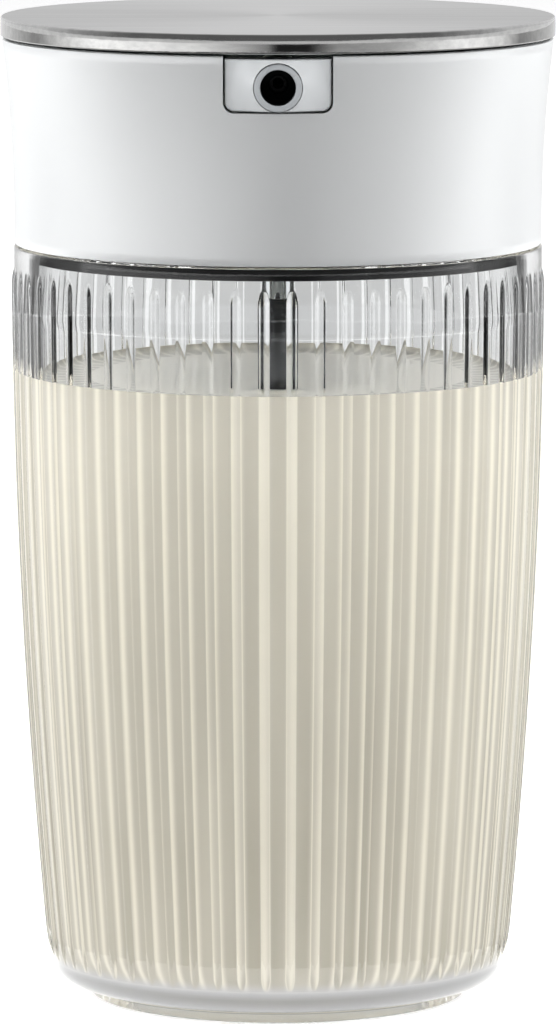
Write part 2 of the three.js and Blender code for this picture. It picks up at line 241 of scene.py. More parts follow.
# Turned outlines are drawn about Z; PORT_AXIS lays them along Y, where their heights are Y.
PORT_AXIS = Matrix.Translation((0, 0, PORT_HEIGHT * MM)) @ Matrix.Rotation(-math.pi / 2, 4, "X")
PIPE_AXIS = Matrix.Translation((0, PIPE_Y * MM, 0))


def rod(name, radius, low, high, place=None, segments=96):
    """A plain round bar along Z, or along the axis that it is placed on."""
    outline = [(0, low), (radius, low), (radius, high), (0, high)]
    return revolve(name, outline, closed=False, segments=segments, place=place)


def tongue(name, half_width, bottom, top, corner, front, back, steps=10):
    """An upright tongue with round lower corners, running along Y."""
    points = [(half_width, top), (-half_width, top)]
    for side, start in ((-1, math.pi), (1, 1.5 * math.pi)):
        centre = Vector((side * (half_width - corner), bottom + corner))
        for step in range(steps + 1):
            angle = start + 0.5 * math.pi * step / steps
            points.append((centre.x + corner * math.cos(angle), centre.y + corner * math.sin(angle)))
    count = len(points)
    verts = [(x, y, z) for y in (front, back) for x, z in points]
    faces = [list(range(count)), list(range(2 * count - 1, count - 1, -1))]
    for i in range(count):
        n = (i + 1) % count
        faces.append([i, n, count + n, count + i])
    obj = new_object(name, verts, faces)
    face_out(obj)
    return obj


# ---- Materials ----


def principled(name, **sockets):
    """A material with one Principled shader; an underscore in a socket's name stands for a space."""
    material = bpy.data.materials.new(name)
    material.use_nodes = True
    shader = material.node_tree.nodes["Principled BSDF"]
    for socket, value in sockets.items():
        shader.inputs[socket.replace("_", " ")].default_value = value
    return material, material.node_tree, shader


def add_noise(tree, scale, detail=4.0, stretch=(1, 1, 1)):
    """A noise in object space, stretched along an axis by a small scale there."""
    place = tree.nodes.new("ShaderNodeTexCoord")
    mapping = tree.nodes.new("ShaderNodeMapping")
    mapping.inputs["Scale"].default_value = stretch
    noise = tree.nodes.new("ShaderNodeTexNoise")
    noise.inputs["Scale"].default_value = scale
    noise.inputs["Detail"].default_value = detail
    tree.links.new(place.outputs["Object"], mapping.inputs["Vector"])
    tree.links.new(mapping.outputs["Vector"], noise.inputs["Vector"])
    return noise.outputs["Fac"]


def add_bump(tree, shader, height, distance, strength=1.0):
    """A fine relief, up to the distance deep in millimetres."""
    bump = tree.nodes.new("ShaderNodeBump")
    bump.inputs["Strength"].default_value = strength
    bump.inputs["Distance"].default_value = distance * MM
    tree.links.new(height, bump.inputs["Height"])
    tree.links.new(bump.outputs["Normal"], shader.inputs["Normal"])


def add_range(tree, value, start, end, low=0.0, high=1.0, smooth=False):
    """Maps a value from start-end to low-high."""
    node = tree.nodes.new("ShaderNodeMapRange")
    node.interpolation_type = "SMOOTHSTEP" if smooth else "LINEAR"
    for socket, number in zip(("From Min", "From Max", "To Min", "To Max"), (start, end, low, high)):
        node.inputs[socket].default_value = number
    tree.links.new(value, node.inputs["Value"])
    return node.outputs["Result"]


def add_spread(tree, value, low, high, socket):
    """Maps a noise to a narrow range of a shader's number."""
    tree.links.new(add_range(tree, value, 0.3, 0.7, low, high), socket)


def add_tint(tree, value, dark, light, socket):
    """Maps a noise to a colour between two."""
    ramp = tree.nodes.new("ShaderNodeValToRGB")
    ramp.color_ramp.elements[0].position = 0.35
    ramp.color_ramp.elements[1].position = 0.65
    ramp.color_ramp.elements[0].color = (*dark, 1)
    ramp.color_ramp.elements[1].color = (*light, 1)
    tree.links.new(value, ramp.inputs["Fac"])
    tree.links.new(ramp.outputs["Color"], socket)


def glass_material():
    """Pressed glass: a faint grey-green body and the soft waves of a moulded surface."""
    material, tree, shader = principled(
        "pressed_glass", Base_Color=(0.96, 0.968, 0.97, 1), Roughness=0.0, IOR=1.5,
        Transmission_Weight=1.0)
    waves = add_noise(tree, 60, 1.0, (1, 1, 0.35))
    add_bump(tree, shader, waves, 0.12, 0.5)
    return material


def clear_plastic_material():
    """Clear moulded plastic with faint flow lines along the pipe."""
    material, tree, shader = principled(
        "clear_plastic", Base_Color=(0.96, 0.98, 0.99, 1), Roughness=0.03, IOR=1.47,
        Transmission_Weight=1.0)
    flow = add_noise(tree, 120, 2.0, (1, 1, 0.1))
    add_bump(tree, shader, flow, 0.05, 0.4)
    return material


def satin_white_material():
    """Pearl lacquer: a fine metallic sheen under a thin satin coat."""
    material, tree, shader = principled(
        "satin_white", Base_Color=(0.9, 0.915, 0.92, 1), Metallic=0.85, Roughness=0.34, IOR=1.5,
        Coat_Weight=0.1, Coat_Roughness=0.25)
    grain = add_noise(tree, 2600, 2.0)
    add_bump(tree, shader, grain, 0.01, 0.25)
    cloud = add_noise(tree, 45, 3.0)
    add_spread(tree, cloud, 0.32, 0.36, shader.inputs["Roughness"])
    return material


def steel_material():
    """Brushed along X on the flat top, polished on the rim, which faces sideways."""
    material, tree, shader = principled(
        "brushed_steel", Metallic=1.0, Roughness=0.3, Anisotropic=0.55)
    streaks = add_noise(tree, 900, 3.0, (0.02, 1, 1))
    add_tint(tree, streaks, (0.54, 0.54, 0.535), (0.63, 0.63, 0.62), shader.inputs["Base Color"])
    geometry = tree.nodes.new("ShaderNodeNewGeometry")
    split = tree.nodes.new("ShaderNodeSeparateXYZ")
    tree.links.new(geometry.outputs["Normal"], split.inputs["Vector"])
    rough = add_range(tree, split.outputs["Z"], 0.7, 0.98, 0.05, 0.33)
    tree.links.new(rough, shader.inputs["Roughness"])
    add_bump(tree, shader, streaks, 0.008, 0.3)
    return material


def moulded_material(name, dark, light, roughness, grain=1800, depth=0.012, gloss=0.5, metallic=0.0):
    """Moulded plastic or rubber: a fine texture, slight colour drift and uneven gloss."""
    material, tree, shader = principled(
        name, Roughness=roughness, IOR=1.48, Specular_IOR_Level=gloss, Metallic=metallic)
    add_tint(tree, add_noise(tree, 70, 3.0), dark, light, shader.inputs["Base Color"])
    add_bump(tree, shader, add_noise(tree, grain, 2.0), depth, 0.4)
    add_spread(tree, add_noise(tree, 160, 3.0), roughness - 0.04, roughness + 0.05,
               shader.inputs["Roughness"])
    return material


def add_math(tree, operation, *values, clamp=False):
    """One Math node; its inputs are numbers or other nodes' outputs."""
    node = tree.nodes.new("ShaderNodeMath")
    node.operation = operation
    node.use_clamp = clamp
    for socket, value in zip(node.inputs, values):
        if isinstance(value, (int, float)):
            socket.default_value = value
        else:
            tree.links.new(value, socket)
    return node.outputs[0]


def add_blend(tree, share, first, second):
    """A colour between two, each a colour or another node's output."""
    node = tree.nodes.new("ShaderNodeMix")
    node.data_type = "RGBA"
    tree.links.new(share, node.inputs[0])
    colours = [socket for socket in node.inputs if socket.type == "RGBA"]
    for socket, colour in zip(colours, (first, second)):
        if isinstance(colour, tuple):
            socket.default_value = (*colour, 1)
        else:
            tree.links.new(colour, socket)
    return next(socket for socket in node.outputs if socket.type == "RGBA")


MILK_LIGHT = (0.99, 0.945, 0.82)
# the colour that the painted shade between the ribs and towards the foot blends to, as does the tone's
# random drift
MILK_DARK = (0.3, 0.275, 0.215)
# the colour of the painted cool shade under the ribs, where the milk shows through the glass foot
MILK_UNDER_SHADE = (0.56, 0.56, 0.57)
MILK_RIB_SHADE = 0.46         # how much painted shade darkens it between two ribs
MILK_FOOT_SHADE = 0.4         # how much painted shade darkens it towards the foot
MILK_DRIFT = 0.08             # how much its tone wanders
MILK_WALL = 34                # radius from which it counts as being at the wall
SHADE_TOP = 100               # height where the painted shade of the foot ends
UNDER_SHADE_HEIGHTS = (3.4, 0.6)    # over the floor: where the painted cool shade under the ribs begins and is full
UNDER_SHADE_RADII = (24, 31)        # the same outwards


def milk_material():
    """Warm white milk with light and shade painted into its colour: painted light behind each rib,
    painted shade between the ribs and towards the foot, and painted cool shade under the ribs.
    """
    material, tree, shader = principled("milk", Roughness=0.22, IOR=1.35, Specular_IOR_Level=0.4)
    place = tree.nodes.new("ShaderNodeTexCoord")
    split = tree.nodes.new("ShaderNodeSeparateXYZ")
    tree.links.new(place.outputs["Object"], split.inputs["Vector"])
    x, y, z = (split.outputs[axis] for axis in "XYZ")
    x_squared = add_math(tree, "MULTIPLY", x, x)
    y_squared = add_math(tree, "MULTIPLY", y, y)
    reach = add_math(tree, "SQRT", add_math(tree, "ADD", x_squared, y_squared))
    at_wall = add_math(tree, "GREATER_THAN", reach, MILK_WALL * MM)

    # Painted light and shade of the ribs: lighter behind each rib, where the ribs would focus light on
    # the milk, and painted shade between them.
    angle = add_math(tree, "ARCTAN2", x, add_math(tree, "MULTIPLY", y, -1))
    wave = add_math(tree, "COSINE", add_math(tree, "MULTIPLY", angle, RIB_COUNT))
    behind_rib = add_math(tree, "POWER", add_math(tree, "MULTIPLY_ADD", wave, -0.5, 0.5), 4.0)
    unevenness = add_math(tree, "ADD", add_noise(tree, 150, 1.0, (1, 1, 0.04)), 0.4)
    between = add_math(tree, "MULTIPLY", add_math(tree, "SUBTRACT", 1.0, behind_rib), at_wall)
    between = add_math(tree, "MULTIPLY", between, unevenness)

    # Painted shade, growing towards the foot, where less light reaches the milk.
    height = add_math(tree, "DIVIDE", z, SHADE_TOP * MM)
    depth = add_math(tree, "SUBTRACT", 1.0, height, clamp=True)
    depth = add_math(tree, "MULTIPLY", depth, at_wall)
    drift = add_math(tree, "SUBTRACT", add_noise(tree, 25, 3.0), 0.5)

    rib_part = add_math(tree, "MULTIPLY", between, MILK_RIB_SHADE)
    foot_part = add_math(tree, "MULTIPLY", depth, MILK_FOOT_SHADE)
    drift_part = add_math(tree, "MULTIPLY", drift, MILK_DRIFT)
    shadow = add_math(tree, "ADD", rib_part, foot_part)
    shadow = add_math(tree, "ADD", shadow, drift_part, clamp=True)
    side = add_blend(tree, shadow, MILK_LIGHT, MILK_DARK)

    # Painted cool shade under the ribs, near the floor and out towards the wall.
    upper, lower = ((FLOOR_TOP + height) * MM for height in UNDER_SHADE_HEIGHTS)
    low = add_range(tree, z, upper, lower, smooth=True)
    inside, outside = (radius * MM for radius in UNDER_SHADE_RADII)
    outer = add_range(tree, reach, inside, outside, smooth=True)
    underside = add_math(tree, "MULTIPLY", low, outer)
    colour = add_blend(tree, underside, side, MILK_UNDER_SHADE)
    tree.links.new(colour, shader.inputs["Base Color"])
    return material


GLASS = glass_material()
CLEAR = clear_plastic_material()
SATIN = satin_white_material()
STEEL = steel_material()
RUBBER = moulded_material("black_rubber", (0.003, 0.0035, 0.004), (0.006, 0.007, 0.0075), 0.6,
                          gloss=0.06)
GREY = moulded_material("grey_plastic", (0.5, 0.52, 0.52), (0.56, 0.58, 0.58), 0.45)
PORT_GREY = moulded_material("port_grey", (0.41, 0.422, 0.43), (0.44, 0.452, 0.46), 0.22,
                             depth=0.004, metallic=0.45)
RING_GREY = moulded_material("ring_grey", (0.15, 0.158, 0.164), (0.17, 0.178, 0.185), 0.28,
                             depth=0.004)
DARK = moulded_material("dark_plastic", (0.008, 0.01, 0.012), (0.014, 0.017, 0.02), 0.3,
                        gloss=0.25)
FOAM = moulded_material("bonding_foam", (0.2, 0.21, 0.21), (0.34, 0.35, 0.35), 0.85, 900, 0.05)
MILK = milk_material()

# ---- Putting pieces into the frame ----

BODY_OF = {node: body for body, nodes in RECORD["behaviour"]["bodies"].items() for node in nodes}


def stand_for(obj, node, material):
    """The object takes the CAD node's place, on its body and in its material slot."""
    obj.data.materials.clear()
    obj.data.materials.append(material)
    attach(obj, BODY_OF[node])
    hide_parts(node)
    return obj


# ---- Glass ----


def glass_inside(outset=0.0):
    """Inner wall of the glass from the middle of the floor up to the lip."""
    corners = [
        (0, FLOOR_TOP),
        (32.5, FLOOR_TOP, 6),
        (37.6, 9.8, 6),
        (39.6, 36, 60),
        (41.4, 66, 60),
        (42.6, 98, 60),
        (43.0, 122, 20),
        (MOUTH_RADIUS, 132.5, 8),
        (MOUTH_RADIUS, NECK_TOP - 0.6),
    ]
    outline = rounded(corners, closed=False, steps=5)
    return [(r + outset if r > 0 else r, z - outset) for r, z in outline]


def glass_outside():
    """
    Rows of (smooth radius, height) from the middle of the underside up to the lip. The rows are
    close together where the ribs begin and end.
    """
    knee = RIB_BOTTOM + 5
    foot = rounded([
        (0, 2.4),
        (30.4, 2.4, 0.6),
        (31.2, 0.0, 0.5),
        (33.4, 0.0, 0.7),
        (34.2, 2.0, 0.9),
        (39.8, 3.2, 5.0),
        (glass_radius(knee) - RIB_HEIGHT, knee),
    ], closed=False, steps=10)
    curve = [point for point in foot if point[1] > 2.2 and point[0] > 34.5]
    curve_radii, curve_heights = zip(*curve)
    low_start = curve_heights[0] + 0.8
    under = [point for point in foot if point not in curve]
    under += [point for point in curve if point[1] < low_start]
    fine_low = np.arange(low_start, knee, 0.22)
    corner = [(float(np.interp(z, curve_heights, curve_radii)), z) for z in fine_low]
    shaft = np.arange(knee, RIB_TOP - 4.0, 6.0)
    fine_high = np.arange(RIB_TOP - 2.9, RIB_TOP + 0.2, 0.2)
    wall = [(glass_radius(z) - RIB_HEIGHT, z) for z in [*shaft, *fine_high]]
    smooth = GLASS_RADIUS - RIB_HEIGHT
    top = rounded([
        (smooth, RIB_TOP + 0.6),
        (smooth, COLLAR_BOTTOM - 0.35, 0.3),
        (NECK_RADIUS, COLLAR_BOTTOM - 0.3, 0.5),
        (NECK_RADIUS, NECK_TOP, 1.1),
        (MOUTH_RADIUS, NECK_TOP, 1.1),
        (MOUTH_RADIUS, NECK_TOP - 2),
    ], closed=False, steps=5)[:-1]
    return under + corner + wall + top


def rib_rise(across, z, half_width):
    """How far the surface stands out, for a place across a rib and a height."""
    reach = half_width * RIB_FADE
    past = max(0.0, RIB_BOTTOM + reach - z, z - RIB_TOP + reach) / RIB_FADE
    distance = math.hypot(across, past) / half_width
    return RIB_HEIGHT * max(0.0, 1 - distance ** 2)


def fluted_glass():
    """Ribbed outside, smooth inside, joined over the lip."""
    pitch = 2 * math.pi / RIB_COUNT
    half = RIB_SHARE * pitch / 2
    half_width = half * GLASS_RADIUS
    gap = pitch - 2 * half
    rib_steps = [-1, -0.85, -0.65, -0.4, -0.15, 0.15, 0.4, 0.65, 0.85, 1]
    valley_steps = [0.05, 0.5, 0.95]      # close to both ribs, whose shading would spread otherwise
    columns = []
    for rib in range(RIB_COUNT):
        middle = (rib + 0.5) * pitch
        columns += [(middle + half * t, t) for t in rib_steps]
        columns += [(middle + half + gap * t, None) for t in valley_steps]
    verts = []
    rings = []
    outside = glass_outside()
    rows = outside + list(reversed(glass_inside()))
    for index, (radius, z) in enumerate(rows):
        if radius < 1e-6:
            rings.append([len(verts)] * len(columns))
            verts.append((0.0, 0.0, z))
            continue
        rings.append(list(range(len(verts), len(verts) + len(columns))))
        for angle, across in columns:
            rise = 0.0
            if index < len(outside) and across is not None:
                rise = rib_rise(across * half_width, z, half_width)
            reach = radius + rise
            verts.append((reach * math.sin(angle), -reach * math.cos(angle), z))
    obj = new_object("fluted_glass", verts, skin(rings))
    face_out(obj)
    return shade(obj, 60)


stand_for(fluted_glass(), "glass_vessel", GLASS)


def inner_radius(z):
    """Radius of the glass's inner wall at a height above the corner of its floor."""
    wall = [(height, radius) for radius, height in glass_inside() if height > FLOOR_TOP + 2]
    heights, radii = zip(*wall)
    return float(np.interp(z, heights, radii))


def milk():
    """Milk up to its level, touching the glass all over, with a raised edge where it wets a wall."""
    overlap = 0.05
    climb = 0.9
    pipe_climb = 0.5
    fade = 0.8
    flat_edge = 5                 # from the wall to where the surface is level
    lip_start = MILK_LEVEL - 3
    outline = [(radius, z) for radius, z in glass_inside(overlap) if z < lip_start]
    for z in np.linspace(lip_start, MILK_LEVEL + climb, 9):
        outline.append((inner_radius(z) + overlap, z))
    edge_radius = outline[-1][0]
    for inward in (0.25, 0.6, 1.0, 1.6, 2.4, 3.4):
        outline.append((edge_radius - inward, MILK_LEVEL + climb * math.exp(-inward / fade)))
    for radius in np.linspace(edge_radius - flat_edge, 2, 26):
        outline.append((radius, MILK_LEVEL))
    outline.append((0, MILK_LEVEL))
    obj = revolve("milk", outline, closed=False, segments=240)
    for vertex in obj.data.vertices:
        reach = math.hypot(vertex.co.x, vertex.co.y) / MM
        if vertex.co.z > (MILK_LEVEL - 0.5) * MM and reach < edge_radius - flat_edge:
            away = math.hypot(vertex.co.x, vertex.co.y - PIPE_Y * MM) / MM - SLEEVE_HIGH.x
            vertex.co.z += pipe_climb * MM * math.exp(-max(0.0, away) / fade)
    obj.data.materials.append(MILK)
    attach(obj, "vessel")
    return shade(obj, 60)


milk()

# ---- Collar ----


def collar_shell():
    """Flared ring with rounded rims and the port's notch."""
    edge = 0.35
    foot = collar_radius(COLLAR_BOTTOM)
    brim = collar_radius(COLLAR_TOP)
    outline = [(foot - edge, COLLAR_BOTTOM), (foot - edge * 0.3, COLLAR_BOTTOM + edge * 0.3)]
    for z in np.linspace(COLLAR_BOTTOM + edge, COLLAR_TOP - edge, 28):
        outline.append((collar_radius(z), z))
    outline += [(brim - edge * 0.3, COLLAR_TOP - edge * 0.3), (brim - edge, COLLAR_TOP)]
    outline += [(LEDGE_RADIUS, COLLAR_TOP), (LEDGE_RADIUS, LEDGE), (COLLAR_INSIDE, LEDGE)]
    outline += [(COLLAR_INSIDE, COLLAR_BOTTOM)]
    obj = revolve("satin_collar", outline, segments=360)
    notch = tongue("notch", NOTCH_WIDTH / 2, NOTCH_BOTTOM, COLLAR_TOP + 3, NOTCH_CORNER, -60, -30)
    combine(obj, notch, "DIFFERENCE")
    return obj


stand_for(collar_shell(), "collar_shell", SATIN)


def collar_liner():
    """Cup with a deck and a refill opening, a saddle under the elbow, and the plug in the mouth."""
    inner = NECK_RADIUS - 2
    deck = 148.0
    under = deck - 2.2
    plug = 39.6
    refill = 18.0
    groove = 43.4
    groove_low = 146.1
    groove_high = 147.7
    cup = revolve("liner_cup", rounded([
        (inner, LINER_HIGH.z, 0.5),
        (LEDGE_RADIUS - 0.3, LINER_HIGH.z, 0.3),
        (LEDGE_RADIUS - 0.3, LEDGE + 0.3, 0.2),
        (NECK_RADIUS, LEDGE + 0.3, 0.4),
        (NECK_RADIUS, groove_high),
        (groove, groove_high, 0.2),
        (groove, groove_low, 0.2),
        (NECK_RADIUS, groove_low),
        (NECK_RADIUS, NECK_TOP + 0.5, 0.3),
        (plug, NECK_TOP + 0.5, 0.5),
        (plug, LINER_LOW.z, 0.3),
        (plug - 2, LINER_LOW.z, 0.3),
        (plug - 2, under, 1.0),
        (refill, under, 0.4),
        (refill, deck + 2, 0.6),
        (refill + 1.6, deck + 2, 0.6),
        (refill + 1.6, deck, 0.5),
        (inner, deck, 1.5),
    ]), segments=192)
    saddle = tongue("saddle", 6.5, deck - 1, PORT_HEIGHT - 3, 0.3, 0.2 - inner, -33.5)
    combine(cup, saddle, "UNION")
    window = tongue("window", 10, 160, LINER_HIGH.z + 4, 1.5, -60, -41.5)
    combine(cup, window, "DIFFERENCE")
    trough = rod("trough", 5.2, -60, -30, PORT_AXIS)
    combine(cup, trough, "DIFFERENCE")
    hole = rod("pipe_hole", 3.9, 120, 160, PIPE_AXIS)
    combine(cup, hole, "DIFFERENCE")
    return cup


stand_for(collar_liner(), "collar_liner", GREY)


def o_ring(name, inner, outer, height, place=None, segments=96, steps=16):
    """A ring with a round section between two radii."""
    half = (outer - inner) / 2
    outline = []
    for step in range(steps):
        angle = 2 * math.pi * step / steps
        outline.append(((inner + outer) / 2 + half * math.cos(angle), height + half * math.sin(angle)))
    return revolve(name, outline, segments=segments, place=place)


stand_for(o_ring("liner_o_ring", 43.55, 44.8, 146.9, segments=160), "liner_seal", RUBBER)


def mouth_seal():
    """Boot round the plug; its lower band follows the inside of the glass."""
    inner = 39.9
    wall = inner + 1.2
    lip = MOUTH_RADIUS - 0.2
    clearance = 0.12
    top = SEAL_HIGH.z
    low = SEAL_LOW.z
    hook = 38.2
    return revolve("mouth_seal_boot", rounded([
        (inner, top, 0.2),
        (wall, top, 0.4),
        (wall, 141.4, 0.4),
        (lip, 140.4, 0.25),
        (wall, 139.4, 0.4),
        (wall, 136, 0.4),
        (inner_radius(135.2) - clearance, 135.2, 0.1),
        (inner_radius(133) - clearance, 133),
        (inner_radius(low + 0.2) - clearance, low + 0.2),
        (wall + 0.2, low, 0.1),
        (hook, low, 0.3),
        (hook, low + 0.5, 0.1),
        (inner, low + 0.5, 0.1),
    ]), segments=192)


stand_for(mouth_seal(), "mouth_seal", RUBBER)

# ---- Milk port ----

PANEL_HALF = NOTCH_WIDTH / 2 - PANEL_GAP
PANEL_BOTTOM = NOTCH_BOTTOM + PANEL_GAP
PANEL_TOP = COLLAR_TOP - 0.45
PANEL_CORNER = NOTCH_CORNER - PANEL_GAP
PANEL_SINK = 0.75             # how far the panel lies behind the collar's surface
PANEL_INSIDE = 43.0           # radius of its back
PANEL_ROWS = 64
FACE_EDGE = 0.32
BOSS_RADIUS = 8.4
BOSS_HEIGHT = 1.15            # where it meets the ring
BOSS_POWER = 1.6


def panel_columns():
    """Places across the panel, closer together over its round corners."""
    straight = PANEL_HALF - PANEL_CORNER
    side = straight + PANEL_CORNER * np.sin(np.linspace(0, math.pi / 2, 9))
    across = np.concatenate([-side, np.linspace(-straight, straight, 91), side])
    return np.unique(np.round(across, 5))


def panel_bottom(x):
    """Height of the panel's lower edge at a place across it."""
    past = max(0.0, abs(x) - (PANEL_HALF - PANEL_CORNER))
    return PANEL_BOTTOM + PANEL_CORNER - math.sqrt(max(0.0, PANEL_CORNER ** 2 - past ** 2))


def panel_front(x, z):
    """Y of the panel's front: the collar's curve, raised round the ring and rounded at the edges."""
    away = math.hypot(x, z - PORT_HEIGHT)
    share = min(1.0, max(0.0, (BOSS_RADIUS - away) / (BOSS_RADIUS - RING_HIGH.x)))
    boss = BOSS_HEIGHT * share ** BOSS_POWER
    rim = min(PANEL_HALF - abs(x), z - panel_bottom(x), PANEL_TOP - z)
    rim = max(0.0, min(rim, FACE_EDGE))
    drop = FACE_EDGE - math.sqrt(max(0.0, FACE_EDGE ** 2 - (FACE_EDGE - rim) ** 2))
    return -math.sqrt(collar_radius(z) ** 2 - x ** 2) - boss + drop + PANEL_SINK


def panel_faces(columns):
    """Faces of a front and a back grid, each a run of columns from the bottom up, and its sides."""
    stride = PANEL_ROWS + 1
    back = columns * stride
    faces = []
    for column in range(columns - 1):
        for row in range(PANEL_ROWS):
            a = column * stride + row
            b = back + a
            faces.append([a, a + stride, a + stride + 1, a + 1])
            faces.append([b, b + 1, b + stride + 1, b + stride])
        for row in (0, PANEL_ROWS):
            a = column * stride + row
            faces.append([a, a + stride, back + a + stride, back + a])
    for column in (0, columns - 1):
        for row in range(PANEL_ROWS):
            a = column * stride + row
            faces.append([a, a + 1, back + a + 1, back + a])
    return faces


def curved_panel():
    """Closed panel that fills the notch."""
    across = panel_columns()
    front = []
    back = []
    for x in across:
        low = panel_bottom(x)
        for row in range(PANEL_ROWS + 1):
            z = low + (PANEL_TOP - low) * row / PANEL_ROWS
            front.append((x, panel_front(x, z), z))
            back.append((x, -math.sqrt(PANEL_INSIDE ** 2 - x ** 2), z))
    obj = new_object("port_panel", front + back, panel_faces(len(across)))
    bm = bmesh.new()
    bm.from_mesh(obj.data)
    bmesh.ops.remove_doubles(bm, verts=bm.verts, dist=1e-7)
    bmesh.ops.dissolve_degenerate(bm, edges=bm.edges, dist=1e-8)
    bm.to_mesh(obj.data)
    bm.free()
    face_out(obj)
    return obj


def port_face():
    """Curved panel with a round housing behind it for the ring, the grommet and the elbow."""
    obj = curved_panel()
    housing_back = FACE_HIGH.y
    housing = rod("housing", 4.9, -PANEL_INSIDE - 0.6, housing_back, PORT_AXIS)
    combine(obj, housing, "UNION")
    seat = rod("seat", RING_HIGH.x + 0.12, -60, housing_back - 1.6, PORT_AXIS)
    combine(obj, seat, "DIFFERENCE")
    outlet = rod("outlet", 3.4, housing_back - 3, housing_back + 1, PORT_AXIS)
    combine(obj, outlet, "DIFFERENCE")
    obj.data.shade_flat()     # its faces are finer than the eye sees, and long slivers can't spoil them
    return obj


stand_for(port_face(), "port_face", PORT_GREY)


RING_BORE = 3.06


def port_ring():
    """Ring with a rounded front edge."""
    return revolve("port_ring_turned", rounded([
        (RING_BORE, RING_LOW.y, 0.35),
        (RING_HIGH.x, RING_LOW.y, 0.3),
        (RING_HIGH.x, RING_HIGH.y, 0.1),
        (RING_BORE, RING_HIGH.y, 0.1),
    ]), place=PORT_AXIS)


def paint_bore_shade(obj):
    """Paints the ring's bore black behind its rounded front edge: painted shade, standing in for the
    shade deep inside the hole.
    """
    furthest = RING_BORE + 0.09
    front = RING_LOW.y + 0.25
    obj.data.materials.append(RUBBER)
    for face in obj.data.polygons:
        reach = math.hypot(face.center.x, face.center.z - PORT_HEIGHT * MM) / MM
        if reach < furthest and face.center.y > front * MM:
            face.material_index = 1


paint_bore_shade(stand_for(port_ring(), "port_ring", RING_GREY))


def port_grommet():
    """Rubber disc deep in the bore, with a hole for the hose nozzle."""
    hole = 1.54
    return revolve("port_grommet_moulded", rounded([
        (hole, GROMMET_LOW.y, 0.5),
        (GROMMET_HIGH.x, GROMMET_LOW.y, 0.1),
        (GROMMET_HIGH.x, GROMMET_HIGH.y, 0.2),
        (hole, GROMMET_HIGH.y, 0.2),
    ]), place=PORT_AXIS)


stand_for(port_grommet(), "port_grommet", RUBBER)


def port_elbow():
    """Milk channel from the port down to the spigot."""
    flange_front = ELBOW_LOW.y
    flange_back = flange_front + 1.2
    arm = 3.1
    spigot = 1.9
    spigot_low = 147.2
    spigot_high = 153
    groove = 1.35
    channel = 1.0
    grooved = []
    for low, high in ((148.45, 149.55), (150.65, 151.75)):
        grooved += [(spigot, low), (groove, low), (groove, high), (spigot, high)]
    obj = revolve("port_elbow_moulded", rounded([
        (0, flange_front),
        (RING_HIGH.x, flange_front, 0.15),
        (RING_HIGH.x, flange_back, 0.15),
        (arm, flange_back, 0.15),
        (arm, PIPE_Y),
        (0, PIPE_Y),
    ], closed=False), closed=False, place=PORT_AXIS, segments=64)
    drop = revolve("drop", rounded([
        (0, spigot_low),
        (spigot, spigot_low, 0.4),
        *grooved,
        (spigot, spigot_high),
        (arm, spigot_high, 0.3),
        (arm, ELBOW_HIGH.z, 2.2),
        (0, ELBOW_HIGH.z),
    ], closed=False), closed=False, place=PIPE_AXIS, segments=64)
    combine(obj, drop, "UNION")
    combine(obj, rod("inlet", channel, -60, PIPE_Y, PORT_AXIS, 32), "DIFFERENCE")
    combine(obj, rod("outlet", channel, 140, PORT_HEIGHT, PIPE_AXIS, 32), "DIFFERENCE")
    return obj


stand_for(port_elbow(), "port_elbow", DARK)

ELBOW_SEAL_LOW, ELBOW_SEAL_HIGH = size_of("elbow_seal")
elbow_ring = o_ring("elbow_o_ring", 3.2, ELBOW_SEAL_HIGH.x,
                    (ELBOW_SEAL_LOW.y + ELBOW_SEAL_HIGH.y) / 2, PORT_AXIS)
stand_for(elbow_ring, "elbow_seal", RUBBER)

for number in (1, 2):
    low, high = size_of(f"spigot_seal_{number}")
    ring = o_ring(f"spigot_o_ring_{number}", 1.43, high.x, (low.z + high.z) / 2, PIPE_AXIS, 64)
    stand_for(ring, f"spigot_seal_{number}", RUBBER)

# ---- Suction pipe ----

ADAPTER_HIGH = size_of("pipe_adapter")[1]
PIPE_LOW, PIPE_HIGH = size_of("suction_pipe")
TIP_LOW, TIP_HIGH = size_of("pipe_tip")
FITTED_BORE = PIPE_HIGH.x - 0.02   # clear pieces grip the pipe, with no air between
PIPE_RADIUS = 1.5
PIPE_BORE = 1.0


def pipe_adapter():
    """Clear coupling with a wide head and a slim neck, which stands on the pipe and its sleeve."""
    neck = 2.75
    head = 3.5
    socket = 2.3
    socket_floor = 146.6
    return revolve("pipe_coupling", rounded([
        (PIPE_BORE, PIPE_HIGH.z, 0.02),
        (neck, PIPE_HIGH.z, 0.1),
        (neck, 139.4, 0.8),
        (head, 140.4, 0.8),
        (head, ADAPTER_HIGH.z, 0.3),
        (socket, ADAPTER_HIGH.z, 0.3),
        (socket, socket_floor, 0.1),
        (PIPE_BORE, socket_floor, 0.1),
    ]), place=PIPE_AXIS)


stand_for(pipe_adapter(), "pipe_adapter", CLEAR)


def pipe_sleeve():
    """Clear sleeve with a tapered upper end."""
    outer = SLEEVE_HIGH.x
    return revolve("pipe_sleeve_clear", rounded([
        (FITTED_BORE, SLEEVE_LOW.z, 0.02),
        (outer, SLEEVE_LOW.z, 0.2),
        (outer, SLEEVE_HIGH.z - 1.6, 1.0),
        (outer - 0.7, SLEEVE_HIGH.z, 0.6),
        (FITTED_BORE, SLEEVE_HIGH.z, 0.02),
    ]), place=PIPE_AXIS)


stand_for(pipe_sleeve(), "pipe_sleeve", CLEAR)


def suction_pipe():
    """Dark pipe inside the sleeve, down into the milk."""
    return revolve("suction_pipe_drawn", rounded([
        (PIPE_BORE, PIPE_LOW.z, 0.1),
        (PIPE_RADIUS, PIPE_LOW.z, 0.1),
        (PIPE_RADIUS, PIPE_HIGH.z, 0.1),
        (PIPE_BORE, PIPE_HIGH.z, 0.1),
    ]), place=PIPE_AXIS, segments=64)


stand_for(suction_pipe(), "suction_pipe", DARK)


